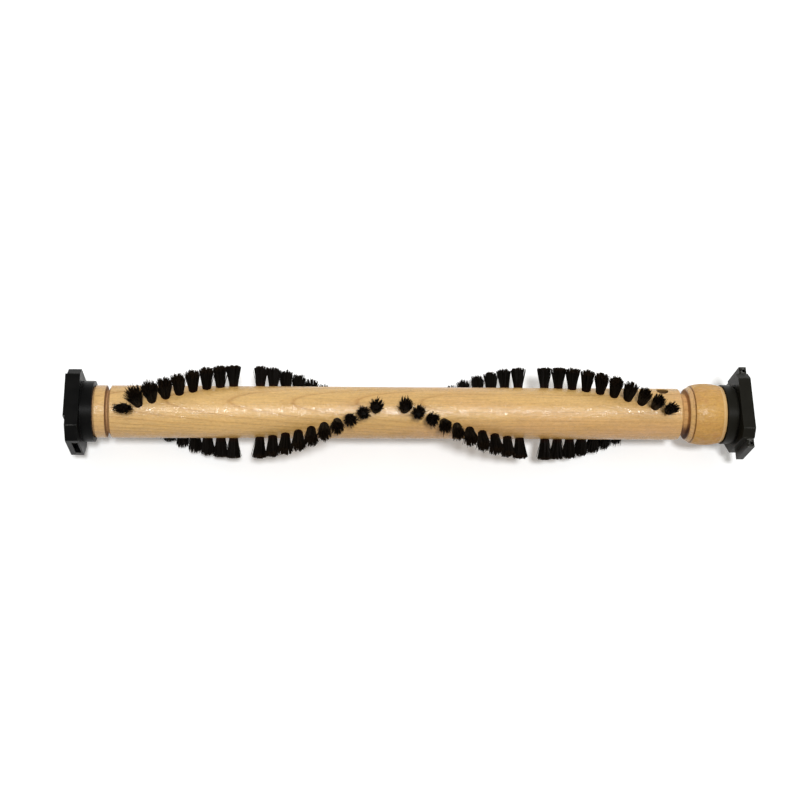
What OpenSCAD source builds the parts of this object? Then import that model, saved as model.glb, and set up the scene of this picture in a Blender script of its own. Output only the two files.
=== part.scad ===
// Vacuum brush roll: a turned wooden roller with two helical rows of bristle
// tufts, a crowned belt pulley turned on its right end, and a moulded end cap
// with a shielded ball bearing on each steel stub axle.
// X runs along the roll, +Z is up, and the origin is on the roll's axis at
// the middle of its overall length.

/* [Roller] */
// Distance between the rims of the two end caps
roller_len = 347; // [340:1:360]
// Diameter of the turned body
body_d = 28.6; // [28:0.1:31]
// Gap between each cap rim and the shoulder it faces
rim_gap = 0.5; // [0.3:0.1:1]
// Diameter of the spigots that run inside the cap skirts
spigot_d = 26.8; // [25:0.1:27.2]
// How far each spigot reaches past the cap rim
spigot_len = 3; // [2.5:0.1:3.4]
// Width of the collar at the left end, from the rim to the groove
collar_w = 6.4; // [5:0.1:9]
// Width of the left groove at the surface
groove_w = 2.8; // [2:0.1:3.5]
// Depth of the left groove
groove_depth = 2.9; // [1.5:0.1:4]
// Width of the flat at the bottom of the left groove
groove_flat = 0.4; // [0.2:0.1:0.8]
// Small bevel turned on the ends of the wood
wood_bevel = 0.4; // [0.2:0.1:0.8]

/* [Pulley] */
// Width of the crowned belt track
track_w = 16.2; // [14:0.1:20]
// Diameter at the top of the crown
crown_d = 34.4; // [34:0.1:37]
// Rise of the crown above its edges
crown_rise = 1.1; // [0.5:0.1:1.5]
// Width of the eased edge between the track and the cap
track_edge_w = 1.1; // [0.4:0.1:2]
// Depth of that eased edge
track_edge_h = 0.5; // [0.2:0.1:0.8]
// Width of the narrow ridge beside the track
ridge_w = 2.2; // [1:0.1:3]
// Rise of the ridge toward the track
ridge_rise = 1.2; // [0.4:0.1:1.5]
// Width of the cut line between the ridge and the track
cut_w = 0.6; // [0.3:0.1:1]
// Depth of that cut line below the ridge
cut_depth = 0.5; // [0.2:0.1:0.8]
// Width of the neck groove between the body and the ridge
neck_w = 4.7; // [4:0.1:7]
// Depth of the neck groove
neck_depth = 2.8; // [1.5:0.1:4]
// Width of the floor of the neck groove
neck_floor_w = 2; // [1:0.1:2.6]
// Run of the steep wall of the neck groove beside the ridge
neck_steep_w = 0.9; // [0.4:0.1:1.2]

/* [Tufts] */
// Diameter over the trimmed bristle tips
tip_d = 52; // [50:0.5:56]
// Diameter of a tuft where it leaves the wood
tuft_root_d = 4.7; // [4:0.1:5]
// Clearance between the tips of neighbouring tufts
tip_gap = 0.25; // [0.1:0.05:0.6]
// Depth of a tuft hole below the body's surface
hole_depth = 10; // [8:0.1:10.2]
// Turn from one tuft to the next
tuft_step = 9.6; // [8:0.1:10]
// Angle from straight up at which every quarter row starts
row_phase = -12; // [-30:1:30]
// Tufts in each outer left quarter row
left_outer_count = 9; // [6:1:9]
// Tufts in each of the other quarter rows
tuft_count = 10; // [6:1:10]
// Distance from the left rim to the first tuft
left_margin = 17.4; // [15:0.1:20]
// Distance from the right rim to the last tuft
right_margin = 33.2; // [31:0.1:36]
// Distance between the two inner rows at the middle of the chevron
centre_gap = 15.7; // [12:0.1:18]
// Place of the chevron's middle, measured from the origin
chevron_x = -12.8; // [-14:0.1:-12]
// Distance between the facing ends of the outer and inner quarter rows
row_gap = 14.5; // [12:0.1:18]
// Pitch of the outer tufts as a multiple of the inner pitch in the same half
outer_stretch = 1.03; // [1:0.01:1.05]
// Depth below the wood's surface at which a tuft starts to flare
flare_depth = 0.3; // [0.2:0.1:1]
// Width of the flat wire anchor that pins a tuft
anchor_w = 1.6; // [1.2:0.1:2]
// Thickness of the anchor
anchor_t = 0.6; // [0.4:0.1:1]
// Depth of the fold of bristles under the anchor
fold_t = 1.2; // [0.8:0.1:2]

/* [Balance hole] */
// Diameter of the blind hole drilled to balance the roll
balance_d = 6.8; // [4:0.1:7]
// Depth of the balance hole
balance_depth = 6; // [3:0.5:8]
// Distance of the balance hole from the right rim
balance_from_rim = 34.7; // [33:0.1:38]
// Angle of the balance hole from straight up
balance_angle = 46; // [40:1:60]

/* [Stub axles] */
// Diameter of the steel stub axles
axle_d = 6; // [5.6:0.1:6.4]
// Length of axle pressed into the wood
axle_grip = 32; // [20:1:45]
// Length of axle that stands out of the retaining ring
axle_tip = 0.6; // [0.4:0.1:0.9]
// Bevel on both ends of an axle
axle_bevel = 0.3; // [0.1:0.1:0.4]

/* [Ball bearings] */
// Outer diameter of the bearing
bearing_d = 19; // [18.8:0.1:20]
// Width of the bearing
bearing_w = 6; // [5.9:0.1:6.2]
// Diameter of a ball
ball_d = 3.5; // [3.2:0.1:3.5]
// Number of balls in each bearing
ball_count = 7; // [5:1:7]
// Diameter of the circle through the ball centres
pitch_d = 12.5; // [12.3:0.1:12.6]
// Height of the race lands above the bottom of the ball grooves
land_h = 0.45; // [0.3:0.05:0.6]
// Clearance between a ball and its groove
ball_gap = 0.05; // [0.03:0.01:0.1]
// Clearance between a ball and its pocket in the cage
pocket_gap = 0.1; // [0.05:0.01:0.15]
// Clearance between the cage and the race lands
cage_gap = 0.45; // [0.3:0.05:0.6]
// Reach of the cage's ring to the closed side of the ball circle
cage_back = 2.3; // [2.1:0.05:2.35]
// Reach of the cage's fingers to the open side
cage_front = 0.6; // [0.4:0.1:1]
// Thickness of a shield
shield_t = 0.25; // [0.2:0.05:0.3]
// Depth of a shield's face below the face of the bearing
shield_inset = 0.2; // [0.1:0.05:0.3]
// Clearance between a shield and the inner race
shield_gap = 0.25; // [0.2:0.05:0.4]
// Depth of the seat turned in the outer race for a shield
shield_seat = 0.25; // [0.1:0.05:0.4]

/* [Washers and rings] */
// Outer diameter of the felt dust washer
felt_d = 14; // [12:0.1:14.5]
// Thickness of the felt dust washer
felt_t = 0.9; // [0.7:0.1:1.2]
// Outer diameter of the retaining ring
ring_d = 9.6; // [8.6:0.1:10]
// Thickness of the retaining ring
ring_t = 0.7; // [0.5:0.1:0.9]
// Depth of the groove for the retaining ring in the axle
ring_groove = 0.6; // [0.3:0.1:0.8]
// Width of the mouth of the retaining ring
ring_mouth = 3.6; // [2:0.1:4]

/* [End caps] */
// Width of the square block across its flats
cap_af = 38; // [36:0.1:42]
// Corner bevel of the square block
cap_bevel = 4.3; // [3:0.1:7]
// Rounding of the long edges of the block
edge_r = 0.8; // [0.4:0.1:1.5]
// Outer diameter of the round skirts
skirt_d = 33.3; // [32:0.1:36]
// Inner clearance of the skirt round the wooden spigot
skirt_gap = 0.6; // [0.4:0.1:1]
// Clearance between the end of the spigot and the floor of the skirt
floor_gap = 0.6; // [0.4:0.1:1]
// Diameter of the clearance pocket round the retaining ring
ring_pocket_d = 13; // [12.6:0.1:14]
// Depth of the clearance pocket round the retaining ring
ring_pocket_depth = 1.9; // [1.8:0.1:2.1]
// Length of the left cap's skirt
left_skirt_len = 6.4; // [5:0.1:8]
// Thickness of the left cap's block under its raised pad
left_block_t = 6.9; // [6:0.1:8]
// Height of the raised pad on the left cap's outer face
pad_h = 1; // [0.5:0.1:2]
// Distance from the axis to the lower edge of the raised pad
pad_edge = 9.6; // [5:0.1:12]
// How far the left cap's front stands out of the square
front_h = 2.3; // [0.5:0.1:3]
// Bevel of the left cap's upper front corner
front_bevel = 6.6; // [5:0.1:8]
// Bevel of the left cap's lower front corner
front_low_bevel = 7.5; // [5:0.1:9]
// Length of the right cap's skirt
right_skirt_len = 4.9; // [4.4:0.1:6]
// Width of the groove between the right cap's skirt and its block
cap_groove_w = 1.4; // [1:0.1:2]
// Diameter at the bottom of that groove
cap_groove_d = 30.4; // [29:0.1:31]
// Thickness of the right cap's block
right_block_t = 6.9; // [6.6:0.1:9]
// Thickness of the tongues on the front and back of the right cap
tongue_t = 4; // [3.4:0.1:5]
// How far each tongue stands out of the block
tongue_h = 4.6; // [3:0.1:6]
// Length of a tongue up the side of the block
tongue_len = 22; // [16:0.5:25]
// How far above the axis the middle of a tongue sits
tongue_shift = 2; // [0:0.5:3]
// Depth of the moulded pocket in the upper end of each tongue
tongue_pocket = 3; // [1:0.5:5]
// Thickness of the walls round that pocket
tongue_wall = 0.9; // [0.8:0.1:1.4]
// Bevel of the right cap's two lower corners
lower_bevel = 8; // [6:0.5:10]
// Depth of the round gate recess on a cap's outer face
gate_depth = 0.5; // [0.2:0.1:0.6]
// Diameter of the round gate recess
gate_d = 9; // [5:0.5:12]
// Width of the moulded pocket down the front of the left cap
slot_w = 3.2; // [2:0.1:4.4]
// Depth of that pocket
slot_depth = 5; // [2:0.1:6]
// Distance of the pocket's ends from the corners of the front
slot_margin = 3.3; // [1:0.1:6]
// Thickness of the wall between the pocket and the block's inner face
slot_wall = 0.8; // [0.8:0.1:1.2]

/* [Fits] */
// Radial clearance of a tuft in its hole
tuft_gap = 0.05; // [0.02:0.01:0.1]

/* [Hidden] */
$fn = 64;
eps = 0.01;
// How far a drill is drawn past the surface that it starts from
drill_over = 1;

// Places along the roll
left_cap_len = left_skirt_len + left_block_t + pad_h;
right_cap_len = right_skirt_len + cap_groove_w + right_block_t;
overall_len = roller_len + left_cap_len + right_cap_len;
left_rim_x = left_cap_len - overall_len / 2;
right_rim_x = overall_len / 2 - right_cap_len;
left_shoulder_x = left_rim_x + rim_gap;
right_shoulder_x = right_rim_x - rim_gap;
track_end_x = right_shoulder_x - track_edge_w;
track_start_x = track_end_x - track_w;
ridge_end_x = track_start_x - cut_w;
ridge_start_x = ridge_end_x - ridge_w;
neck_start_x = ridge_start_x - neck_w;
neck_floor_end_x = ridge_start_x - neck_steep_w;
groove_start_x = left_rim_x + collar_w;

// Radii of the wood
body_r = body_d / 2;
crown_r = crown_d / 2;
ridge_r = body_r + ridge_rise;
spigot_r = spigot_d / 2;
hole_r = tuft_root_d / 2 + tuft_gap;
hole_floor_r = body_r - hole_depth;

// Depths measured outward from a cap's rim
felt_z = spigot_len;
bearing_z = felt_z + felt_t;
ring_z = bearing_z + bearing_w;
axle_end_z = ring_z + ring_t + axle_tip;
skirt_floor_z = spigot_len + floor_gap;

// Radii of the bearing
axle_r = axle_d / 2;
ball_r = ball_d / 2;
pitch_r = pitch_d / 2;
race_groove_r = ball_r + ball_gap;
inner_land_r = pitch_r - race_groove_r + land_h;
outer_land_r = pitch_r + race_groove_r - land_h;
shield_seat_r = outer_land_r + shield_seat;
shield_z = bearing_w / 2 - shield_inset - shield_t;

// The crown of the belt track as an arc with a 3 degree step or finer
crown_arc_r = (pow(track_w / 2, 2) + pow(crown_rise, 2)) / (2 * crown_rise);
crown_half_angle = asin(track_w / 2 / crown_arc_r);
crown_steps = 12;

function crown_points() = [
    for (i = [0 : crown_steps])
        let (a = crown_half_angle * (2 * i / crown_steps - 1))
            [crown_r - crown_arc_r * (1 - cos(a)), track_start_x + track_w / 2 + crown_arc_r * sin(a)]
];

// Half of the roller's section, as radius and place along the roll
function roller_section() = concat(
    [
        [0, left_rim_x - spigot_len],
        [spigot_r - wood_bevel, left_rim_x - spigot_len],
        [spigot_r, left_rim_x - spigot_len + wood_bevel],
        [spigot_r, left_shoulder_x],
        [body_r - wood_bevel, left_shoulder_x],
        [body_r, left_shoulder_x + wood_bevel],
        [body_r, groove_start_x],
        [body_r - groove_depth, groove_start_x + groove_w / 4],
        [body_r - groove_depth, groove_start_x + groove_w / 4 + groove_flat],
        [body_r, groove_start_x + groove_w],
        [body_r, neck_start_x],
        [body_r - neck_depth, neck_floor_end_x - neck_floor_w],
        [body_r - neck_depth, neck_floor_end_x],
        [body_r, ridge_start_x],
        [ridge_r, ridge_end_x],
        [ridge_r - cut_depth, ridge_end_x + cut_w / 2]
    ],
    crown_points(),
    [
        [crown_r - crown_rise - track_edge_h, right_shoulder_x],
        [spigot_r, right_shoulder_x],
        [spigot_r, right_rim_x + spigot_len - wood_bevel],
        [spigot_r - wood_bevel, right_rim_x + spigot_len],
        [0, right_rim_x + spigot_len]
    ]
);

// Places of the first tufts, and the pitches that fill each half of the roll
left_first_x = left_rim_x + left_margin;
left_last_x = chevron_x - centre_gap / 2;
right_first_x = chevron_x + centre_gap / 2;
right_last_x = right_rim_x - right_margin;
left_steps = (left_outer_count - 1) * outer_stretch + tuft_count - 1;
right_steps = (tuft_count - 1) * outer_stretch + tuft_count - 1;
left_pitch = (left_last_x - left_first_x - row_gap) / left_steps;
right_pitch = (right_last_x - right_first_x - row_gap) / right_steps;

// A tuft flares until its tip nearly meets the next one
tip_chord = tip_d * sin(tuft_step / 2);
tuft_tip_d = sqrt(pow(min(left_pitch, right_pitch), 2) + pow(tip_chord, 2)) - tip_gap;

// Quarter rows: place of the starting tuft, signed pitch, signed turn, count
left_outer = [left_first_x, left_pitch * outer_stretch, tuft_step, left_outer_count];
left_inner = [left_last_x, -left_pitch, -tuft_step, tuft_count];
right_inner = [right_first_x, right_pitch, -tuft_step, tuft_count];
right_outer = [right_last_x, -right_pitch * outer_stretch, tuft_step, tuft_count];

// Puts its children at every tuft of a quarter row, with +Z outward
module along_row(row, turn) {
    for (i = [0 : row[3] - 1])
        translate([row[0] + row[1] * i, 0, 0])
            rotate([-(row_phase + turn + row[2] * i), 0, 0])
                children();
}

// Frames of the two ends: +Z points outward from the cap's rim
module at_left_end() {
    translate([left_rim_x, 0, 0]) rotate([0, -90, 0]) children();
}

module at_right_end() {
    translate([right_rim_x, 0, 0]) rotate([0, 90, 0]) children();
}

module ring(outer_r, inner_r, h) {
    difference() {
        cylinder(r = outer_r, h = h);
        translate([0, 0, -eps]) cylinder(r = inner_r, h = h + 2 * eps);
    }
}

// Turned wood with its tuft holes, axle bores and balance hole
module tuft_hole() {
    translate([0, 0, hole_floor_r]) cylinder(r = hole_r, h = hole_depth + drill_over);
}

module axle_bore() {
    translate([0, 0, -axle_grip]) cylinder(r = axle_r, h = axle_grip + spigot_len + drill_over);
}

module wood_roller() {
    color("burlywood")
    difference() {
        rotate([0, 90, 0]) rotate_extrude($fn = 96) polygon(roller_section());
        for (turn = [0, 180]) {
            along_row(left_outer, turn) tuft_hole();
            along_row(left_inner, turn) tuft_hole();
            along_row(right_inner, turn) tuft_hole();
            along_row(right_outer, turn) tuft_hole();
        }
        at_left_end() axle_bore();
        at_right_end() axle_bore();
        translate([right_rim_x - balance_from_rim, 0, 0])
            rotate([-balance_angle, 0, 0])
                translate([0, 0, body_r - balance_depth])
                    cylinder(d = balance_d, h = balance_depth + drill_over);
    }
}

// A tuft: a round root folded round its anchor, and a fluted flare of bristles
tuft_flutes = 12;
flute_depth = 0.14;
flare_start_r = body_r - flare_depth;

function tuft_outline() = [
    for (i = [0 : 2 * tuft_flutes - 1])
        let (r = tuft_root_d / 2 * (i % 2 == 0 ? 1 : 1 - flute_depth), a = 180 * i / tuft_flutes)
            [r * cos(a), r * sin(a)]
];

module anchor_bar() {
    translate([-tuft_root_d, -anchor_w / 2, hole_floor_r + fold_t])
        cube([2 * tuft_root_d, anchor_w, anchor_t]);
}

module tuft() {
    difference() {
        translate([0, 0, hole_floor_r])
            cylinder(d = tuft_root_d, h = flare_start_r + eps - hole_floor_r, $fn = 32);
        anchor_bar();
    }
    translate([0, 0, flare_start_r])
        linear_extrude(height = tip_d / 2 - flare_start_r, scale = tuft_tip_d / tuft_root_d)
            polygon(tuft_outline());
}

// The anchor spans the hole and bites its wall on both sides
module anchor() {
    intersection() {
        anchor_bar();
        cylinder(r = hole_r, h = body_r);
    }
}

module tufts_left_outer_a() { color([0.07, 0.07, 0.07]) along_row(left_outer, 0) tuft(); }
module tufts_left_outer_b() { color([0.07, 0.07, 0.07]) along_row(left_outer, 180) tuft(); }
module tufts_left_inner_a() { color([0.07, 0.07, 0.07]) along_row(left_inner, 180) tuft(); }
module tufts_left_inner_b() { color([0.07, 0.07, 0.07]) along_row(left_inner, 0) tuft(); }
module tufts_right_inner_a() { color([0.07, 0.07, 0.07]) along_row(right_inner, 180) tuft(); }
module tufts_right_inner_b() { color([0.07, 0.07, 0.07]) along_row(right_inner, 0) tuft(); }
module tufts_right_outer_a() { color([0.07, 0.07, 0.07]) along_row(right_outer, 0) tuft(); }
module tufts_right_outer_b() { color([0.07, 0.07, 0.07]) along_row(right_outer, 180) tuft(); }

module anchors_left_outer_a() { color("silver") along_row(left_outer, 0) anchor(); }
module anchors_left_outer_b() { color("silver") along_row(left_outer, 180) anchor(); }
module anchors_left_inner_a() { color("silver") along_row(left_inner, 180) anchor(); }
module anchors_left_inner_b() { color("silver") along_row(left_inner, 0) anchor(); }
module anchors_right_inner_a() { color("silver") along_row(right_inner, 180) anchor(); }
module anchors_right_inner_b() { color("silver") along_row(right_inner, 0) anchor(); }
module anchors_right_outer_a() { color("silver") along_row(right_outer, 0) anchor(); }
module anchors_right_outer_b() { color("silver") along_row(right_outer, 180) anchor(); }

// Steel stub pressed into the wood, with a groove for its retaining ring
module stub_axle() {
    groove_r = axle_r - ring_groove;
    color("lightsteelblue")
    rotate_extrude()
        polygon([
            [0, -axle_grip],
            [axle_r - axle_bevel, -axle_grip],
            [axle_r, axle_bevel - axle_grip],
            [axle_r, ring_z],
            [groove_r, ring_z],
            [groove_r, ring_z + ring_t],
            [axle_r, ring_z + ring_t],
            [axle_r, axle_end_z - axle_bevel],
            [axle_r - axle_bevel, axle_end_z],
            [0, axle_end_z]
        ]);
}

module left_axle() { at_left_end() stub_axle(); }
module right_axle() { at_right_end() stub_axle(); }

// Bearing pieces, drawn about the middle of the bearing
module at_bearing() {
    translate([0, 0, bearing_z + bearing_w / 2]) children();
}

module ball_groove() {
    rotate_extrude() translate([pitch_r, 0]) circle(r = race_groove_r, $fn = 48);
}

module inner_race() {
    color("silver")
    at_bearing()
        difference() {
            translate([0, 0, -bearing_w / 2]) ring(inner_land_r, axle_r, bearing_w);
            ball_groove();
        }
}

module outer_race() {
    color("silver")
    at_bearing()
        difference() {
            translate([0, 0, -bearing_w / 2]) ring(bearing_d / 2, outer_land_r, bearing_w);
            ball_groove();
            for (side = [-1, 1])
                translate([0, 0, side * (shield_z + bearing_w / 2) - bearing_w / 2])
                    cylinder(r = shield_seat_r, h = bearing_w);
        }
}

module ball_ring(r) {
    for (i = [0 : ball_count - 1])
        rotate([0, 0, 360 * i / ball_count]) translate([pitch_r, 0, 0]) sphere(r = r, $fn = 48);
}

module balls() {
    color("gainsboro") at_bearing() ball_ring(ball_r);
}

// Crown cage: the pockets are open on the side away from its back ring

module cage() {
    color("saddlebrown")
    at_bearing()
        difference() {
            translate([0, 0, -cage_back])
                ring(outer_land_r - cage_gap, inner_land_r + cage_gap, cage_back + cage_front);
            ball_ring(ball_r + pocket_gap);
        }
}

module shields() {
    color("darkgray")
    at_bearing()
        for (z = [-shield_z - shield_t, shield_z])
            translate([0, 0, z]) ring(shield_seat_r, inner_land_r + shield_gap, shield_t);
}

module felt_washer() {
    color("dimgray") translate([0, 0, felt_z]) ring(felt_d / 2, axle_r, felt_t);
}

// Open retaining ring snapped into the axle's groove
module retaining_ring() {
    color("slategray")
    translate([0, 0, ring_z])
        difference() {
            ring(ring_d / 2, axle_r - ring_groove, ring_t);
            translate([0, -ring_mouth / 2, -eps]) cube([ring_d, ring_mouth, ring_t + 2 * eps]);
        }
}

module left_inner_race() { at_left_end() inner_race(); }
module left_outer_race() { at_left_end() outer_race(); }
module left_balls() { at_left_end() balls(); }
module left_cage() { at_left_end() cage(); }
module left_shields() { at_left_end() shields(); }
module left_felt_washer() { at_left_end() felt_washer(); }
module left_retaining_ring() { at_left_end() retaining_ring(); }
module right_inner_race() { at_right_end() inner_race(); }
module right_outer_race() { at_right_end() outer_race(); }
module right_balls() { at_right_end() balls(); }
module right_cage() { at_right_end() cage(); }
module right_shields() { at_right_end() shields(); }
module right_felt_washer() { at_right_end() felt_washer(); }
module right_retaining_ring() { at_right_end() retaining_ring(); }

// Outline of a block: a square with bevelled corners and eased edges
half_af = cap_af / 2;
ease = edge_r * tan(22.5);

// Points of one eased corner at p, between the directions u and v
function eased_corner(p, u, v) = [p - ease * u, p - ease * 0.3 * u + ease * 0.3 * v, p + ease * v];

// Corner bevels are listed from the back upper corner round to the front, and
// the reaches of the flats from the top over the back and bottom to the front
function block_outline(bevels, reaches) = [
    for (k = [0 : 3])
        let (
            n = [cos(90 * k), sin(90 * k)],
            t = [-n[1], n[0]],
            last = (k + 3) % 4,
            before = reaches[last] - bevels[last],
            after = reaches[(k + 1) % 4] - bevels[k]
        )
            each concat(
                eased_corner(reaches[k] * n - before * t, (n + t) / sqrt(2), t),
                eased_corner(reaches[k] * n + after * t, t, (t - n) / sqrt(2))
            )
];

even_bevels = [cap_bevel, cap_bevel, cap_bevel, cap_bevel];
even_reaches = [half_af, half_af, half_af, half_af];

module block(t, bevels = even_bevels, reaches = even_reaches) {
    linear_extrude(height = t) polygon(block_outline(bevels, reaches));
}

// The hollow of a cap: skirt, bearing seat and room for the retaining ring
module cap_hollow() {
    translate([0, 0, -eps]) cylinder(r = spigot_r + skirt_gap, h = skirt_floor_z + eps);
    translate([0, 0, skirt_floor_z - eps]) cylinder(d = bearing_d, h = ring_z - skirt_floor_z + eps);
    translate([0, 0, ring_z - eps]) cylinder(d = ring_pocket_d, h = ring_pocket_depth + eps);
}

module gate_recess(z) {
    translate([0, 0, z - gate_depth]) cylinder(d = gate_d, h = gate_depth + eps);
}

module left_end_cap() {
    front_y = half_af + front_h;
    slot_top = half_af - front_bevel - slot_margin;
    slot_end = front_low_bevel + slot_margin - half_af;
    color([0.1, 0.1, 0.1])
    at_left_end()
        difference() {
            union() {
                cylinder(d = skirt_d, h = left_skirt_len + eps);
                translate([0, 0, left_skirt_len])
                    block(
                        left_block_t,
                        [cap_bevel, cap_bevel, front_low_bevel, front_bevel],
                        [half_af, half_af, half_af, front_y]
                    );
                intersection() {
                    translate([0, 0, left_skirt_len + left_block_t - eps]) block(pad_h + eps);
                    translate([-half_af, -pad_edge, 0])
                        cube([cap_af, pad_edge + half_af - cap_bevel, left_cap_len]);
                }
            }
            cap_hollow();
            gate_recess(left_cap_len);
            translate([slot_end, -front_y - eps, left_skirt_len + slot_wall])
                cube([slot_top - slot_end, slot_depth + eps, slot_w]);
        }
}

// One tongue of the right cap, standing out toward local +Y
module tongue() {
    upper_x = -tongue_shift - tongue_len / 2;
    pocket_w = tongue_t - 2 * tongue_wall;
    translate([0, 0, right_cap_len - tongue_t])
        difference() {
            translate([upper_x, 0, 0]) cube([tongue_len, half_af + tongue_h, tongue_t]);
            translate([upper_x - eps, half_af + (tongue_h - pocket_w) / 2, (tongue_t - pocket_w) / 2])
                cube([tongue_pocket + eps, pocket_w, pocket_w]);
        }
}

module right_end_cap() {
    block_z = right_skirt_len + cap_groove_w;
    color([0.1, 0.1, 0.1])
    at_right_end()
        difference() {
            union() {
                cylinder(d = skirt_d, h = right_skirt_len);
                cylinder(d = cap_groove_d, h = block_z + eps);
                translate([0, 0, block_z])
                    block(right_block_t, [lower_bevel, cap_bevel, cap_bevel, lower_bevel]);
                tongue();
                mirror([0, 1, 0]) tongue();
            }
            cap_hollow();
            gate_recess(right_cap_len);
        }
}

wood_roller();
left_axle();
right_axle();
tufts_left_outer_a();
tufts_left_outer_b();
tufts_left_inner_a();
tufts_left_inner_b();
tufts_right_inner_a();
tufts_right_inner_b();
tufts_right_outer_a();
tufts_right_outer_b();
anchors_left_outer_a();
anchors_left_outer_b();
anchors_left_inner_a();
anchors_left_inner_b();
anchors_right_inner_a();
anchors_right_inner_b();
anchors_right_outer_a();
anchors_right_outer_b();
left_inner_race();
left_outer_race();
left_balls();
left_cage();
left_shields();
left_felt_washer();
left_retaining_ring();
left_end_cap();
right_inner_race();
right_outer_race();
right_balls();
right_cage();
right_shields();
right_felt_washer();
right_retaining_ring();
right_end_cap();
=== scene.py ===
import math
import random

import bmesh
import bpy
from mathutils import Matrix, Vector


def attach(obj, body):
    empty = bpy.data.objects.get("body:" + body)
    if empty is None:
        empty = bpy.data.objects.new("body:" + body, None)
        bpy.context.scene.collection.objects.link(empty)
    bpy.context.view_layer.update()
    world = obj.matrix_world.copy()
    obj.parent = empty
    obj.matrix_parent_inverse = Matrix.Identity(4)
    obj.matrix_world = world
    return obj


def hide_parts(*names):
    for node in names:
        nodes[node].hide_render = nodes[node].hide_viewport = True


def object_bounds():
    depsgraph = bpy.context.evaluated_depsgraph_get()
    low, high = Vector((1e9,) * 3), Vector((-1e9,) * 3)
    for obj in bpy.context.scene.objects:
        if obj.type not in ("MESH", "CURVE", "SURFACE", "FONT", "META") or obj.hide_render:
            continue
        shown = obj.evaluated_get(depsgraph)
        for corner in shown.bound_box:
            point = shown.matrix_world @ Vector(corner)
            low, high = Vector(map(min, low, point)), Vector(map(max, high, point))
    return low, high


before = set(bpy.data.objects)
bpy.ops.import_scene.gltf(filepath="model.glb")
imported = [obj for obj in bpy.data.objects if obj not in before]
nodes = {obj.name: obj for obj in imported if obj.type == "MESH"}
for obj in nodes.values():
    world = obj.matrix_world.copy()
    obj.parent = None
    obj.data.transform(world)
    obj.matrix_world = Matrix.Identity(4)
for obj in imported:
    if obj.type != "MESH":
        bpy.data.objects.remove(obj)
cadLow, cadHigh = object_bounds()
print("frame loaded,", len(nodes), "nodes")


# node helpers shared by all the finishes

def newFinish(name):
    finish = bpy.data.materials.new(name)
    finish.use_nodes = True
    tree = finish.node_tree
    tree.nodes.clear()
    out = tree.nodes.new("ShaderNodeOutputMaterial")
    shader = tree.nodes.new("ShaderNodeBsdfPrincipled")
    tree.links.new(shader.outputs["BSDF"], out.inputs["Surface"])
    return finish, tree, shader


def add(tree, kind, inputs=None, **settings):
    node = tree.nodes.new("ShaderNode" + kind)
    for key, value in settings.items():
        setattr(node, key, value)
    for key, value in (inputs or {}).items():
        if isinstance(value, bpy.types.NodeSocket):
            tree.links.new(value, node.inputs[key])
        else:
            node.inputs[key].default_value = value
    return node


def calc(tree, operation, a, b=0.0, c=0.0):
    return add(tree, "Math", {0: a, 1: b, 2: c}, operation=operation).outputs[0]


def times(tree, product, *factors):
    for factor in factors:
        product = calc(tree, "MULTIPLY", product, factor)
    return product


def clamped(tree, value):
    return add(tree, "Clamp", {"Value": value}).outputs[0]


def lengthOf(tree, a, b):
    return calc(tree, "SQRT", calc(tree, "ADD", times(tree, a, a), times(tree, b, b)))


def progress(tree, value, low, high):    # 0 at low, 1 at high
    return calc(tree, "DIVIDE", calc(tree, "SUBTRACT", value, low), high - low)


def distanceTo(tree, value, middle):
    return calc(tree, "ABSOLUTE", calc(tree, "SUBTRACT", value, middle))


def objectAxes(tree):
    return add(tree, "SeparateXYZ", {"Vector": add(tree, "TexCoord").outputs["Object"]}).outputs


def noiseOf(tree, look):    # look gives the cells per metre along the object's x, y and z
    place = add(tree, "TexCoord").outputs["Object"]
    place = add(tree, "Mapping", {"Vector": place, "Scale": look["cells"]}).outputs["Vector"]
    inputs = {"Vector": place, "Scale": 1.0}
    inputs["Detail"] = look.get("detail", 2.0)
    inputs["Roughness"] = look.get("rough", 0.5)
    return add(tree, "TexNoise", inputs).outputs["Fac"]


def ramp(tree, fac, *stops):    # each stop is a position and a grey value
    node = add(tree, "ValToRGB", {"Fac": fac})
    bar = node.color_ramp
    while len(bar.elements) < len(stops):
        bar.elements.new(0.5)
    for element, (spot, value) in zip(bar.elements, stops):
        element.position = spot
        element.color = (value, value, value, 1.0)
    return node.outputs["Color"]


def shadeOf(tree, look):
    return ramp(tree, noiseOf(tree, look), *look["stops"])


def maskOf(tree, look):
    return times(tree, shadeOf(tree, look), look["share"])


def blendTone(tree, mode, fac, first, second):
    first, second = ((*tone, 1.0) if isinstance(tone, tuple) else tone for tone in (first, second))
    return add(tree, "Mix", {0: fac, 6: first, 7: second}, data_type="RGBA", blend_type=mode).outputs[2]


def roundedNormal(tree, radius, samples):
    return add(tree, "Bevel", {"Radius": radius}, samples=samples).outputs["Normal"]


def bumpOf(tree, height, strength, distance, normal=None):
    inputs = {"Height": height, "Strength": strength, "Distance": distance}
    if normal is not None:
        inputs["Normal"] = normal
    return add(tree, "Bump", inputs).outputs["Normal"]


def seenBy(tree, *rays):    # 1 for rays of these kinds, 0 for others
    path = add(tree, "LightPath")
    seen = path.outputs[rays[0]]
    for ray in rays[1:]:
        seen = calc(tree, "MAXIMUM", seen, path.outputs[ray])
    return seen


# lacquered maple, lengths in metres

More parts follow.
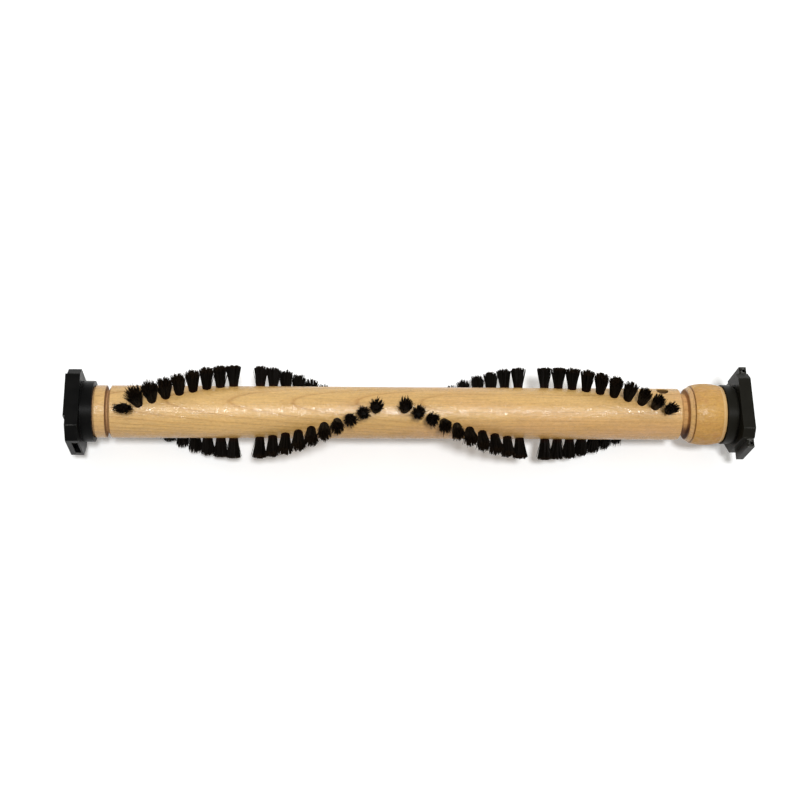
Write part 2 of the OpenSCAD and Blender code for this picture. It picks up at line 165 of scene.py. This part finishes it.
maple = {
    "paleTone": (0.725, 0.463, 0.170),
    "darkTone": (0.60, 0.342, 0.100),
    "lineTone": (0.42, 0.20, 0.042),
    "pinkTone": (0.71, 0.41, 0.20),
    "trackTone": (0.88, 0.81, 0.54),
    "blotchTone": (0.48, 0.23, 0.06),
    "edgeTone": (0.80, 0.58, 0.30),
    "edgeShare": 0.4,
    # tone of the dark lines: painted shade at the left groove's edge and the neck's wall
    "burnTone": (0.30, 0.19, 0.08),
    # the cut wood's own tone, partly painted shade
    "leftGrooveTone": (0.70, 0.66, 0.78),
    "neckTone": (0.92, 0.88, 0.84),
    # painted shade at the front of the neck
    "sootTone": (0.22, 0.13, 0.07),
    # painted shade inside the balance hole
    "holeTone": (0.22, 0.19, 0.13),

    # places along the roll
    "collarEnd": -0.1650,
    "trackStart": 0.15625,
    "trackEnd": 0.1715,
    # dark lines as place, half width and share: painted shade at the left groove's edge and at the steep wall
    # of the neck, and a dark line at the cut line
    "burns": ((-0.16635, 0.0005, 0.75), (0.15305, 0.0008, 0.8), (0.15590, 0.0006, 0.55)),
    "grooveRadius": 0.0138,     # wood nearer to the axis is inside a cut or a hole
    # where the painted shade at the front of the neck lies, and how fast it fades towards the back
    "sootPlace": 0.1513,
    "sootHalf": 0.0025,
    "sootSlope": -420.0,        # per metre of y, from the offset below
    "sootOffset": -3.6,
    # where the painted shade inside the balance hole lies
    "holePlace": 0.13935,
    "holeHalf": 0.0034,
    "holeSide": 0.003,          # the hole lies behind this y

    # growth rings about a pith below the roller
    "pithDepth": 0.058,
    "pithSide": 0.005,
    "ringPitch": 0.0019,
    "ringPhase": 0.74,
    "ringTilt": 0.0543,         # the grain runs out of the left part and lies straight in the right part
    "straightFrom": 0.02,
    "ringProfile": ((0.0, 0.05), (0.6, 0.0), (0.84, 0.3), (0.91, 1.0), (0.95, 0.2), (1.0, 0.05)),
    "wobbleSize": 0.36,         # of a ring
    "swaySize": 0.0024,
    "collarShare": 0.3,         # how strongly the lines show in each part
    "leftShare": 0.9,
    "rightShare": 0.6,
    "trackShare": 0.2,

    # noise patterns
    "wobble": {"cells": (16, 90, 90), "detail": 4.0, "rough": 0.6},
    "sway": {"cells": (5, 14, 14), "detail": 1.0},
    "ringDepth": {"cells": (12, 40, 40), "stops": ((0.34, 0.7), (0.6, 1.0))},
    "broad": {"cells": (7, 34, 34), "detail": 3.0, "rough": 0.55, "stops": ((0.3, 0.0), (0.72, 1.0))},
    "pink": {"cells": (11, 50, 50), "stops": ((0.48, 0.0), (0.75, 1.0)), "share": 0.55},
    "fibre": {"cells": (55, 1900, 1900), "detail": 3.0, "rough": 0.6, "share": 0.8,
              "stops": ((0.32, 0.74), (0.50, 0.97), (0.72, 1.06))},
    "dapple": {"cells": (520, 820, 820), "rough": 0.6, "stops": ((0.3, 0.90), (0.7, 1.06))},
    "fleck": {"cells": (260, 1500, 1500), "detail": 1.0, "stops": ((0.68, 0.0), (0.76, 1.0)), "share": 0.5},
    "speck": {"cells": (620, 620, 620), "rough": 0.7, "stops": ((0.60, 0.0), (0.67, 1.0)), "share": 0.7},
    "blotch": {"cells": (190, 170, 170), "detail": 3.0, "stops": ((0.5, 0.0), (0.66, 1.0)), "share": 0.6},

    # the lacquer, each bump as a strength and a height
    "gloss": {"cells": (300, 640, 640), "detail": 4.0, "rough": 0.75, "stops": ((0.42, 0.10), (0.56, 0.5))},
    "trackRoughness": 0.26,
    "grooveRoughness": 0.9,
    "lathe": {"cells": (2600, 40, 40), "detail": 1.0},
    "sparkle": {"cells": (900, 1500, 1500), "rough": 0.7},
    "fibreBump": (0.35, 0.00025),
    "latheBump": (0.12, 0.0001),
    "sparkleBump": (0.9, 0.00018),
    "specular": 0.55,
    "coat": 0.1,
    "coatRoughness": 0.24,
}


def ringLines(tree, x, y, z, onTrack):
    wobble = noiseOf(tree, maple["wobble"])
    sway = noiseOf(tree, maple["sway"])
    runOut = calc(tree, "MINIMUM", x, maple["straightFrom"])
    depth = calc(tree, "MULTIPLY_ADD", runOut, maple["ringTilt"], maple["pithDepth"])
    sway = calc(tree, "MULTIPLY_ADD", sway, maple["swaySize"], -maple["swaySize"] / 2)
    height = calc(tree, "ADD", calc(tree, "ADD", z, depth), sway)
    radius = lengthOf(tree, calc(tree, "ADD", y, maple["pithSide"]), height)
    phase = maple["ringPhase"] - maple["wobbleSize"] / 2
    phase = calc(tree, "MULTIPLY_ADD", wobble, maple["wobbleSize"], phase)
    rings = calc(tree, "MULTIPLY_ADD", radius, 1 / maple["ringPitch"], phase)
    lines = ramp(tree, calc(tree, "FRACT", rings), *maple["ringProfile"])

    left, right = maple["leftShare"], maple["rightShare"]
    share = calc(tree, "MULTIPLY_ADD", calc(tree, "GREATER_THAN", x, 0.0), right - left, left)
    share = calc(tree, "MULTIPLY_ADD", onTrack, maple["trackShare"] - right, share)
    onCollar = calc(tree, "LESS_THAN", x, maple["collarEnd"])
    share = calc(tree, "MULTIPLY_ADD", onCollar, maple["collarShare"] - left, share)
    return times(tree, lines, shadeOf(tree, maple["ringDepth"]), share)


def sandedWood(tree, rings, fibre):
    base = blendTone(tree, "MIX", shadeOf(tree, maple["broad"]), maple["paleTone"], maple["darkTone"])
    base = blendTone(tree, "MIX", maskOf(tree, maple["pink"]), base, maple["pinkTone"])
    base = blendTone(tree, "MIX", rings, base, maple["lineTone"])
    streaks = ramp(tree, fibre, *maple["fibre"]["stops"])
    base = blendTone(tree, "MULTIPLY", maple["fibre"]["share"], base, streaks)
    base = blendTone(tree, "MULTIPLY", 1.0, base, shadeOf(tree, maple["dapple"]))
    return blendTone(tree, "MIX", maskOf(tree, maple["fleck"]), base, maple["lineTone"])


def beltTrack(tree, base, x, onTrack):
    # more orange, with small rubbed-in specks, and paler at the outer edge
    base = blendTone(tree, "MULTIPLY", onTrack, base, maple["trackTone"])
    for key, tone in (("speck", maple["lineTone"]), ("blotch", maple["blotchTone"])):
        base = blendTone(tree, "MIX", times(tree, maskOf(tree, maple[key]), onTrack), base, tone)
    onEdge = calc(tree, "GREATER_THAN", x, maple["trackEnd"])
    return blendTone(tree, "MIX", times(tree, onEdge, maple["edgeShare"]), base, maple["edgeTone"])


def darkLinesAtCuts(tree, base, x):
    # painted shade in dark lines at the left groove's edge and the neck's steep wall, and a dark line at the
    # cut line, darkest in the middle of each line
    for place, half, share in maple["burns"]:
        near = calc(tree, "MULTIPLY_ADD", distanceTo(tree, x, place), -share / half, share)
        near = calc(tree, "MAXIMUM", near, 0.0)
        base = blendTone(tree, "MULTIPLY", near, base, maple["burnTone"])
    return base


def groovesAndHole(tree, base, x, y, inGroove):
    # cut grooves are browner than the sanded surface; in the left groove the darker tone is partly painted
    # shade
    inLeft = times(tree, inGroove, calc(tree, "LESS_THAN", x, 0.0))
    inNeck = times(tree, inGroove, calc(tree, "GREATER_THAN", x, 0.0))
    base = blendTone(tree, "MULTIPLY", inLeft, base, maple["leftGrooveTone"])
    base = blendTone(tree, "MULTIPLY", inNeck, base, maple["neckTone"])
    # painted shade: the neck grows darker towards its front (−y) side
    low = clamped(tree, calc(tree, "MULTIPLY_ADD", y, maple["sootSlope"], maple["sootOffset"]))
    nearNeckShade = calc(tree, "LESS_THAN", distanceTo(tree, x, maple["sootPlace"]), maple["sootHalf"])
    base = blendTone(tree, "MULTIPLY", times(tree, inNeck, nearNeckShade, low), base, maple["sootTone"])
    # painted shade inside the balance hole
    nearHole = calc(tree, "LESS_THAN", distanceTo(tree, x, maple["holePlace"]), maple["holeHalf"])
    inHole = times(tree, inGroove, nearHole, calc(tree, "GREATER_THAN", y, maple["holeSide"]))
    return blendTone(tree, "MULTIPLY", inHole, base, maple["holeTone"])


def lacquer(tree, shader, fibre, onTrack, inGroove):
    satin = calc(tree, "MULTIPLY_ADD", onTrack, maple["trackRoughness"], shadeOf(tree, maple["gloss"]))
    satin = calc(tree, "MAXIMUM", satin, times(tree, inGroove, maple["grooveRoughness"]))
    tree.links.new(satin, shader.inputs["Roughness"])
    normal = bumpOf(tree, fibre, *maple["fibreBump"])
    for key in ("lathe", "sparkle"):
        normal = bumpOf(tree, noiseOf(tree, maple[key]), *maple[key + "Bump"], normal)
    tree.links.new(normal, shader.inputs["Normal"])
    tree.links.new(normal, shader.inputs["Coat Normal"])
    shader.inputs["Specular IOR Level"].default_value = maple["specular"]
    shader.inputs["Coat Weight"].default_value = maple["coat"]
    shader.inputs["Coat Roughness"].default_value = maple["coatRoughness"]


def makeMaple():
    finish, tree, shader = newFinish("lacqueredMaple")
    x, y, z = objectAxes(tree)
    onTrack = calc(tree, "GREATER_THAN", x, maple["trackStart"])
    inGroove = calc(tree, "LESS_THAN", lengthOf(tree, y, z), maple["grooveRadius"])
    fibre = noiseOf(tree, maple["fibre"])
    base = sandedWood(tree, ringLines(tree, x, y, z, onTrack), fibre)
    base = beltTrack(tree, base, x, onTrack)
    base = darkLinesAtCuts(tree, base, x)
    base = groovesAndHole(tree, base, x, y, inGroove)
    tree.links.new(base, shader.inputs["Base Color"])
    lacquer(tree, shader, fibre, onTrack, inGroove)
    return finish


# moulded black nylon of the end caps

capNylon = {
    "faceTone": (0.0010, 0.0010, 0.0009),
    "wornTone": (0.0034, 0.0033, 0.0030),
    "dustTone": (0.0078, 0.0072, 0.0048),    # added on the right cap, which is lighter
    "cloud": {"cells": (160, 160, 160), "detail": 4.0, "rough": 0.6},
    "wornStops": ((0.35, 0.0), (0.75, 1.0)),
    "roughStops": ((0.2, 0.28), (0.8, 0.42)),
    "grain": {"cells": (3200, 3200, 3200)},
    "grainBump": (0.22, 0.00012),
    "edgeRadius": 0.00035,
    "edgeSamples": 6,
    "specular": 0.06,

    # painted highlight: edges that run along the roll are painted light grey, in patches
    "rubTone": (0.40, 0.40, 0.38),
    "rubRadius": 0.0005,
    "rubSamples": 8,
    "rubStops": ((0.004, 0.0), (0.05, 1.0)),
    "rubPatches": ((0.35, 0.25), (0.65, 1.0)),
    "rubLean": 0.15,    # the most that such an edge's normal may lean along the roll
}


def edgeHighlights(tree, cloud):
    # the normal of a rounded edge departs from the flat one
    rounded = roundedNormal(tree, capNylon["rubRadius"], capNylon["rubSamples"])
    flat = add(tree, "NewGeometry").outputs["Normal"]
    same = add(tree, "VectorMath", {0: rounded, 1: flat}, operation="DOT_PRODUCT").outputs["Value"]
    onEdge = ramp(tree, calc(tree, "SUBTRACT", 1.0, same), *capNylon["rubStops"])
    lean = calc(tree, "ABSOLUTE", add(tree, "SeparateXYZ", {"Vector": rounded}).outputs[0])
    lengthwise = calc(tree, "LESS_THAN", lean, capNylon["rubLean"])
    return times(tree, onEdge, ramp(tree, cloud, *capNylon["rubPatches"]), lengthwise)


def makeCapNylon():
    finish, tree, shader = newFinish("mouldedNylon")
    cloud = noiseOf(tree, capNylon["cloud"])
    worn = ramp(tree, cloud, *capNylon["wornStops"])
    base = blendTone(tree, "MIX", worn, capNylon["faceTone"], capNylon["wornTone"])
    onRight = calc(tree, "GREATER_THAN", objectAxes(tree)[0], 0.0)
    base = blendTone(tree, "ADD", onRight, base, capNylon["dustTone"])
    # painted highlight on the edges that run along the roll
    base = blendTone(tree, "MIX", edgeHighlights(tree, cloud), base, capNylon["rubTone"])
    tree.links.new(base, shader.inputs["Base Color"])
    tree.links.new(ramp(tree, cloud, *capNylon["roughStops"]), shader.inputs["Roughness"])
    soft = roundedNormal(tree, capNylon["edgeRadius"], capNylon["edgeSamples"])
    normal = bumpOf(tree, noiseOf(tree, capNylon["grain"]), *capNylon["grainBump"], soft)
    tree.links.new(normal, shader.inputs["Normal"])
    shader.inputs["Specular IOR Level"].default_value = capNylon["specular"]
    return finish


# bristle filaments, browner at the tips, and redder near the wood from a painted reflection of the wood

bristleNylon = {
    "tone": (0.0042, 0.0031, 0.0022),
    # painted reflection of the wood near the roots
    "rootTone": (0.0200, 0.0044, 0.0019),
    "tipTone": (0.0150, 0.0082, 0.0036),
    "rootReach": (0.0143, 0.0168),    # distances from the axis over which the painted reflection fades
    "tipReach": (0.0240, 0.026),
    "mottle": {"cells": (1400, 1400, 1400), "detail": 1.0, "stops": ((0.3, 0.42), (0.7, 0.65))},
    "specular": 0.045,
}


def makeBristleNylon():
    finish, tree, shader = newFinish("bristleNylon")
    y, z = objectAxes(tree)[1:3]
    reach = lengthOf(tree, y, z)
    mottle = noiseOf(tree, bristleNylon["mottle"])
    fromRoot = progress(tree, reach, *bristleNylon["rootReach"])
    rootReflection = times(tree, clamped(tree, calc(tree, "SUBTRACT", 1.0, fromRoot)), mottle)
    atTip = clamped(tree, progress(tree, reach, *bristleNylon["tipReach"]))
    # painted reflection of the wood near the roots
    base = blendTone(tree, "MIX", rootReflection, bristleNylon["tone"], bristleNylon["rootTone"])
    base = blendTone(tree, "MIX", atTip, base, bristleNylon["tipTone"])
    tree.links.new(base, shader.inputs["Base Color"])
    tree.links.new(ramp(tree, mottle, *bristleNylon["mottle"]["stops"]), shader.inputs["Roughness"])
    shader.inputs["Specular IOR Level"].default_value = bristleNylon["specular"]
    return finish


# steel, felt and the other small parts inside the caps: tone, range of roughness, cells of the streaks

smallParts = {
    "groundSteel": {"tone": (0.50, 0.51, 0.52), "roughness": (0.22, 0.38), "cells": (60, 2400, 2400)},
    "raceSteel": {"tone": (0.58, 0.59, 0.60), "roughness": (0.16, 0.30), "cells": (2600, 300, 300)},
    "ballSteel": {"tone": (0.72, 0.73, 0.74), "roughness": (0.06, 0.14), "cells": (800, 800, 800)},
    "shieldSteel": {"tone": (0.46, 0.47, 0.48), "roughness": (0.28, 0.46), "cells": (300, 1900, 1900)},
    "springSteel": {"tone": (0.16, 0.165, 0.18), "roughness": (0.30, 0.5), "cells": (1200, 1200, 1200)},
    "wireSteel": {"tone": (0.50, 0.50, 0.47), "roughness": (0.3, 0.5), "cells": (1500, 1500, 1500)},
    "cagePlastic": {"tone": (0.105, 0.044, 0.016), "roughness": (0.4, 0.6), "cells": (900, 900, 900)},
    "greyFelt": {"tone": (0.036, 0.036, 0.037), "roughness": (0.85, 0.98), "cells": (2800, 2800, 2800)},
}
streaks = {"detail": 3.0, "rough": 0.6, "darkShare": 0.78, "from": 0.25, "to": 0.75, "bump": (0.2, 0.00008)}


def makeSmallPart(name):
    look = smallParts[name]
    finish, tree, shader = newFinish(name)
    streak = noiseOf(tree, {**streaks, "cells": look["cells"]})
    dark = tuple(c * streaks["darkShare"] for c in look["tone"])
    tree.links.new(blendTone(tree, "MIX", streak, look["tone"], dark), shader.inputs["Base Color"])
    low, high = look["roughness"]
    roughness = ramp(tree, streak, (streaks["from"], low), (streaks["to"], high))
    tree.links.new(roughness, shader.inputs["Roughness"])
    tree.links.new(bumpOf(tree, streak, *streaks["bump"]), shader.inputs["Normal"])
    shader.inputs["Metallic"].default_value = 1.0 if "Steel" in name else 0.0
    return finish


mapleFinish = makeMaple()
capFinish = makeCapNylon()
bristleFinish = makeBristleNylon()
smallFinish = {name: makeSmallPart(name) for name in smallParts}
print("finishes made")


# finishes of the CAD pieces that stay as they are

finishOf = {
    "wood_roller": mapleFinish, "end_cap": capFinish, "axle": smallFinish["groundSteel"],
    "race": smallFinish["raceSteel"], "balls": smallFinish["ballSteel"], "cage": smallFinish["cagePlastic"],
    "shields": smallFinish["shieldSteel"], "felt_washer": smallFinish["greyFelt"],
    "retaining_ring": smallFinish["springSteel"], "anchors": smallFinish["wireSteel"],
}
for name, piece in nodes.items():
    for key, finish in finishOf.items():
        if key in name:
            piece.data.materials.clear()
            piece.data.materials.append(finish)


# bristle tufts: separate filaments round a dark core, lengths in metres

tuft = {
    "seed": 410,
    "filaments": 360,
    "filamentRadius": 0.00017,
    "filamentTip": 0.72,        # of its radius
    "corners": 3,
    "rings": 3,
    "rootRadius": 0.00215,
    "tipRadius": 0.0041,
    # distances from the axis of the roll
    "startReach": 0.0128,       # inside the wood
    "surfaceReach": 0.0141,
    "tipReach": 0.0260,
    "tipLevel": 0.0255,         # the CAD tuft has only the face of its tip beyond this

    # how the tips stray from an even fan
    "sway": 0.00014,            # of a whole tuft
    "spread": (0.88, 1.06),
    "twist": 0.06,
    "splay": 0.00045,
    "edge": 1.06,               # of the tip radius, where all but strays end
    "strayShare": 0.15,
    "stray": 1.4,
    "tipJitter": 0.00032,
    "dome": 0.0009,             # how much the outer filaments fall short
    "domePower": 4,
    "bow": 0.10,

    # bundles that filaments stick together in
    "clumps": 26,
    "clumpSpread": (0.85, 1.15),
    "clumpTwist": 0.3,
    "clumpPull": 0.34,
    "clumpShort": 0.00036,

    # core: its height as a share of the bristles' and its radii as shares of those of root and tip
    "coreSides": 14,
    "coreReach": 0.72,
    "coreRoot": 0.96,
    "coreMiddle": 0.98,
    "coreTip": 0.30,
    "coreWaves": 3,
    "coreWave": 0.06,

    # worn tufts near the ends: place, lean along the roll and round it, and how wide the tip has become
    # along the roll and round it
    "worn": (
        (-0.1556, 0.0001, -0.0024, 1.36, 0.62),
        (-0.1484, -0.0014, 0.0029, 1.25, 1.15),
        (-0.1412, -0.0007, 0.0021, 1.25, 1.15),
        (-0.1340, -0.0002, 0.0010, 1.15, 1.1),
        (0.1408, -0.0004, 0.0003, 1.05, 0.8),
    ),
    "wornWithin": 0.003,
    "slideRange": (0.5, 1.6),   # the share of the lean along the roll that each filament takes
    "swingRange": (0.3, 1.35),  # and of the lean round it
    # quarter rows whose tips have been swept round the roller a little
    "swept": {
        "left_inner_b": 0.0008, "right_inner_b": 0.0018,
        "left_outer_b": -0.0012, "right_outer_b": -0.0010,
    },
}
goldenAngle = math.pi * (3 - math.sqrt(5))


def islandOf(seed, left):
    # takes the vertices that hang together with seed out of the set left
    left.remove(seed)
    island, edge = [seed], [seed]
    while edge:
        vert = edge.pop()
        for link in vert.link_edges:
            other = link.other_vert(vert)
            if other in left:
                left.remove(other)
                island.append(other)
                edge.append(other)
    return island


def tuftPlaces(node):
    # each tuft of a CAD group is one island: its place along the roll and its angle round it
    mesh = bmesh.new()
    mesh.from_mesh(node.data)
    bmesh.ops.remove_doubles(mesh, verts=mesh.verts, dist=1e-6)
    left = set(mesh.verts)
    places = []
    for seed in mesh.verts:
        if seed in left:
            points = [vert.co for vert in islandOf(seed, left)]
            tips = [co for co in points if math.hypot(co.y, co.z) > tuft["tipLevel"]]
            middle = sum(tips, Vector()) / len(tips)
            low, high = min(co.x for co in points), max(co.x for co in points)
            places.append(((low + high) / 2, math.atan2(middle.y, middle.z)))
    mesh.free()
    return sorted(places)


def skinTube(faces, first, levels, sides):
    # quads between the rings of vertices that start at first, and a face on each end
    for k in range(levels - 1):
        for s in range(sides):
            a, b = first + k * sides + s, first + k * sides + (s + 1) % sides
            faces.append((a, b, b + sides, a + sides))
    last = first + (levels - 1) * sides
    faces.append(tuple(reversed(range(first, first + sides))))
    faces.append(tuple(range(last, last + sides)))


def clumpsOf(turn, dice):
    # where each clump gathers, along and round from the middle of the tuft, and how much it falls short
    clumps = []
    for i in range(tuft["clumps"]):
        share = math.sqrt((i + 0.5) / tuft["clumps"])
        far = tuft["tipRadius"] * share * dice.uniform(*tuft["clumpSpread"])
        theta = turn + i * goldenAngle + dice.uniform(-tuft["clumpTwist"], tuft["clumpTwist"])
        short = abs(dice.gauss(0, tuft["clumpShort"]))
        clumps.append((far * math.cos(theta), far * math.sin(theta), short))
    return clumps


def tipOf(share, theta, sway, clumps, wear, dice):
    # where a filament ends, along and round from the middle of the tuft, and how much its clump falls short
    edge = tuft["tipRadius"] * tuft["edge"]
    spread = tuft["tipRadius"] * share * dice.uniform(*tuft["spread"])
    theta += dice.gauss(0, tuft["twist"])
    tip = (spread * math.cos(theta) + dice.gauss(0, tuft["splay"]) + sway[0],
           spread * math.sin(theta) + dice.gauss(0, tuft["splay"]) + sway[1])
    far = math.hypot(*tip)
    if far > edge:
        tip = tuple(c * edge / far for c in tip)
    clump = min(clumps, key=lambda c: math.hypot(c[0] - tip[0], c[1] - tip[1]))
    tip = tuple(t + (c - t) * tuft["clumpPull"] for t, c in zip(tip, clump))
    if dice.random() < tuft["strayShare"]:
        tip = tuple(c * dice.uniform(1.0, tuft["stray"]) for c in tip)
    slide, swing, longSize, roundSize = wear
    tip = (tip[0] * longSize + slide * dice.uniform(*tuft["slideRange"]),
           tip[1] * roundSize + swing * dice.uniform(*tuft["swingRange"]))
    return tip, clump[2]


def addFilament(verts, faces, x, axes, root, tip, reach, dice):
    along, across, out = axes
    rings, corners = tuft["rings"], tuft["corners"]
    span = tuft["tipReach"] - tuft["surfaceReach"]
    bow = dice.gauss(0, tuft["bow"])
    spin = dice.uniform(0, math.tau)
    skinTube(faces, len(verts), rings + 1, corners)
    for k in range(rings + 1):
        level = tuft["startReach"] + (reach - tuft["startReach"]) * k / rings
        flare = max(0.0, (level - tuft["surfaceReach"]) / span)
        flare += bow * flare * (1 - flare)
        u, w = (r + (t - r) * flare for r, t in zip(root, tip))
        centre = along * (x + u) + across * w + out * level
        thick = tuft["filamentRadius"] * (1.0 if k < rings else tuft["filamentTip"])
        for corner in range(corners):
            phi = spin + corner * math.tau / corners
            verts.append(centre + (along * math.cos(phi) + across * math.sin(phi)) * thick)


def addCore(verts, faces, x, axes, turn):
    # keeps light from passing through the bundle
    along, across, out = axes
    sides, surface = tuft["coreSides"], tuft["surfaceReach"]
    height = (tuft["tipReach"] - surface) * tuft["coreReach"]
    root = tuft["rootRadius"] * tuft["coreRoot"]
    levels = ((tuft["startReach"], root), (surface, root),
              (surface + height / 2, tuft["rootRadius"] * tuft["coreMiddle"]),
              (surface + height, tuft["tipRadius"] * tuft["coreTip"]))
    skinTube(faces, len(verts), len(levels), sides)
    for level, radius in levels:
        for s in range(sides):
            phi = s * math.tau / sides
            far = radius * (1 + tuft["coreWave"] * math.sin(tuft["coreWaves"] * phi + turn))
            verts.append(along * (x + far * math.cos(phi)) + across * (far * math.sin(phi)) + out * level)


def addTuft(verts, faces, x, angle, wear, dice):
    along = Vector((1.0, 0.0, 0.0))
    across = Vector((0.0, math.cos(angle), -math.sin(angle)))
    out = Vector((0.0, math.sin(angle), math.cos(angle)))
    axes = (along, across, out)
    turn = dice.uniform(0, math.tau)
    sway = (dice.gauss(0, tuft["sway"]), dice.gauss(0, tuft["sway"]))
    clumps = clumpsOf(turn, dice)
    for i in range(tuft["filaments"]):
        share = math.sqrt((i + 0.5) / tuft["filaments"])
        theta = turn + i * goldenAngle
        root = (tuft["rootRadius"] * share * math.cos(theta), tuft["rootRadius"] * share * math.sin(theta))
        tip, clumpShort = tipOf(share, theta, sway, clumps, wear, dice)
        short = abs(dice.gauss(0, tuft["tipJitter"])) + tuft["dome"] * share ** tuft["domePower"] + clumpShort
        addFilament(verts, faces, x, axes, root, tip, tuft["tipReach"] - short, dice)
    addCore(verts, faces, x, axes, turn)


def wearOf(group, x, angle):
    # only tufts that point up are worn
    for place, *amounts in tuft["worn"]:
        if abs(x - place) < tuft["wornWithin"] and math.cos(angle) > 0:
            return amounts
    return (0.0, tuft["swept"].get(group, 0.0), 1.0, 1.0)


def makeTufts(nodeName, seed):
    dice = random.Random(seed)
    verts, faces = [], []
    group = nodeName.replace("tufts_", "")
    for x, angle in tuftPlaces(nodes[nodeName]):
        addTuft(verts, faces, x, angle, wearOf(group, x, angle), dice)
    name = "bristles_" + group
    mesh = bpy.data.meshes.new(name)
    mesh.from_pydata([tuple(v) for v in verts], [], faces)
    mesh.validate()
    mesh.materials.append(bristleFinish)
    piece = bpy.data.objects.new(name, mesh)
    bpy.context.scene.collection.objects.link(piece)
    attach(piece, "roller")
    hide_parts(nodeName)


tuftNodes = sorted(name for name in nodes if name.startswith("tufts_"))
for order, name in enumerate(tuftNodes):
    makeTufts(name, tuft["seed"] + order)
print("tufts made,", len(tuftNodes), "groups")


# floor: pale to the camera, darker and warmer in the light that it throws back

floor = {
    "half": 4.0,
    "tone": (0.87, 0.885, 0.90),
    "paler": 1.02,
    "speckle": {"cells": (30, 30, 30), "detail": 3.0},
    "bounceTone": (0.50, 0.42, 0.31),
    "lift": 0.2,
    "roughness": 0.9,
}


def makeFloor():
    finish, tree, shader = newFinish("paleFloor")
    paleTone = tuple(min(1.0, c * floor["paler"]) for c in floor["tone"])
    base = blendTone(tree, "MIX", noiseOf(tree, floor["speckle"]), floor["tone"], paleTone)
    seen = seenBy(tree, "Is Camera Ray", "Is Glossy Ray")
    base = blendTone(tree, "MIX", seen, floor["bounceTone"], base)
    tree.links.new(base, shader.inputs["Base Color"])
    shader.inputs["Roughness"].default_value = floor["roughness"]
    shader.inputs["Specular IOR Level"].default_value = 0.0
    shader.inputs["Emission Color"].default_value = (1.0, 1.0, 1.0, 1.0)
    tree.links.new(times(tree, seen, floor["lift"]), shader.inputs["Emission Strength"])
    mesh = bpy.data.meshes.new("floor")
    half = floor["half"]
    corners = [(-half, -half, 0), (half, -half, 0), (half, half, 0), (-half, half, 0)]
    mesh.from_pydata(corners, [], [(0, 1, 2, 3)])
    mesh.materials.append(finish)
    piece = bpy.data.objects.new("floor", mesh)
    piece.location.z = cadLow.z
    bpy.context.scene.collection.objects.link(piece)


makeFloor()


# lights: a sun almost overhead, and a sky that is darker and warmer from the front than from the back

light = {
    "keyElevation": 77.0,
    "keyAzimuth": 14.0,
    "keyPower": 2.05,
    "keyAngle": 10.0,
    "backTone": (0.76, 0.76, 0.735),
    "frontTone": (0.20, 0.175, 0.14),
    "skyLean": (0.22, 0.6),    # how fast the sky changes along x and along y
}


def makeSun():
    key = bpy.data.lights.new("keyLight", "SUN")
    key.energy = light["keyPower"]
    key.angle = math.radians(light["keyAngle"])
    lamp = bpy.data.objects.new("keyLight", key)
    tilt, turn = math.radians(light["keyElevation"]), math.radians(light["keyAzimuth"])
    toLight = Vector((math.sin(turn) * math.cos(tilt), -math.cos(turn) * math.cos(tilt), math.sin(tilt)))
    lamp.rotation_mode = "QUATERNION"
    lamp.rotation_quaternion = toLight.to_track_quat("Z", "Y")
    bpy.context.scene.collection.objects.link(lamp)


def makeSky():
    world = bpy.data.worlds.new("studio")
    bpy.context.scene.world = world
    world.use_nodes = True
    tree = world.node_tree
    tree.nodes.clear()
    way = add(tree, "SeparateXYZ", {"Vector": add(tree, "TexCoord").outputs["Generated"]}).outputs
    leanX, leanY = light["skyLean"]
    lean = calc(tree, "MULTIPLY_ADD", way[0], leanX, times(tree, way[1], leanY))
    behind = clamped(tree, calc(tree, "ADD", lean, 0.5))
    tone = blendTone(tree, "MIX", behind, light["frontTone"], light["backTone"])
    # white where it is seen
    seen = seenBy(tree, "Is Camera Ray", "Is Transmission Ray", "Is Glossy Ray")
    tone = blendTone(tree, "MIX", seen, tone, (1.0, 1.0, 1.0))
    back = add(tree, "Background", {"Color": tone, "Strength": 1.0})
    out = tree.nodes.new("ShaderNodeOutputWorld")
    tree.links.new(back.outputs[0], out.inputs["Surface"])


makeSun()
makeSky()


# camera, placed as the photograph's was: lengths in metres, angles in degrees, lens and sensor in millimetres

shot = {
    "distance": 0.784, "elevation": 70.0, "left": 0.06135, "yaw": 4.0, "pitch": 0.52, "roll": 0.283,
    "lens": 63.9, "sensor": 36.0, "clipStart": 0.01,
}


def makeCamera():
    tilt = math.radians(shot["elevation"])
    toCamera = Vector((0.0, -math.cos(tilt), math.sin(tilt)))
    imageUp = Vector((0.0, math.sin(tilt), math.cos(tilt)))
    yaw, pitch, roll = (math.radians(shot[key]) for key in ("yaw", "pitch", "roll"))
    forward = Vector((math.sin(yaw), 0.0, 0.0)) + imageUp * math.sin(pitch) - toCamera * math.cos(yaw)
    forward.normalize()
    right = forward.cross(imageUp).normalized()
    up = right.cross(forward).normalized()
    rolledUp = up * math.cos(roll) - right * math.sin(roll)
    rolledRight = right * math.cos(roll) + up * math.sin(roll)
    data = bpy.data.cameras.new("camera")
    data.lens = shot["lens"]
    data.sensor_width = shot["sensor"]
    data.clip_start = shot["clipStart"]
    camera = bpy.data.objects.new("camera", data)
    spot = toCamera * shot["distance"] + Vector((-shot["left"], 0.0, 0.0))
    turn = Matrix((rolledRight, rolledUp, -forward)).transposed().to_4x4()
    camera.matrix_world = Matrix.Translation(spot) @ turn
    bpy.context.scene.collection.objects.link(camera)
    bpy.context.scene.camera = camera


makeCamera()
bpy.context.scene.view_settings.view_transform = "Standard"
print("stage, lights and camera set")
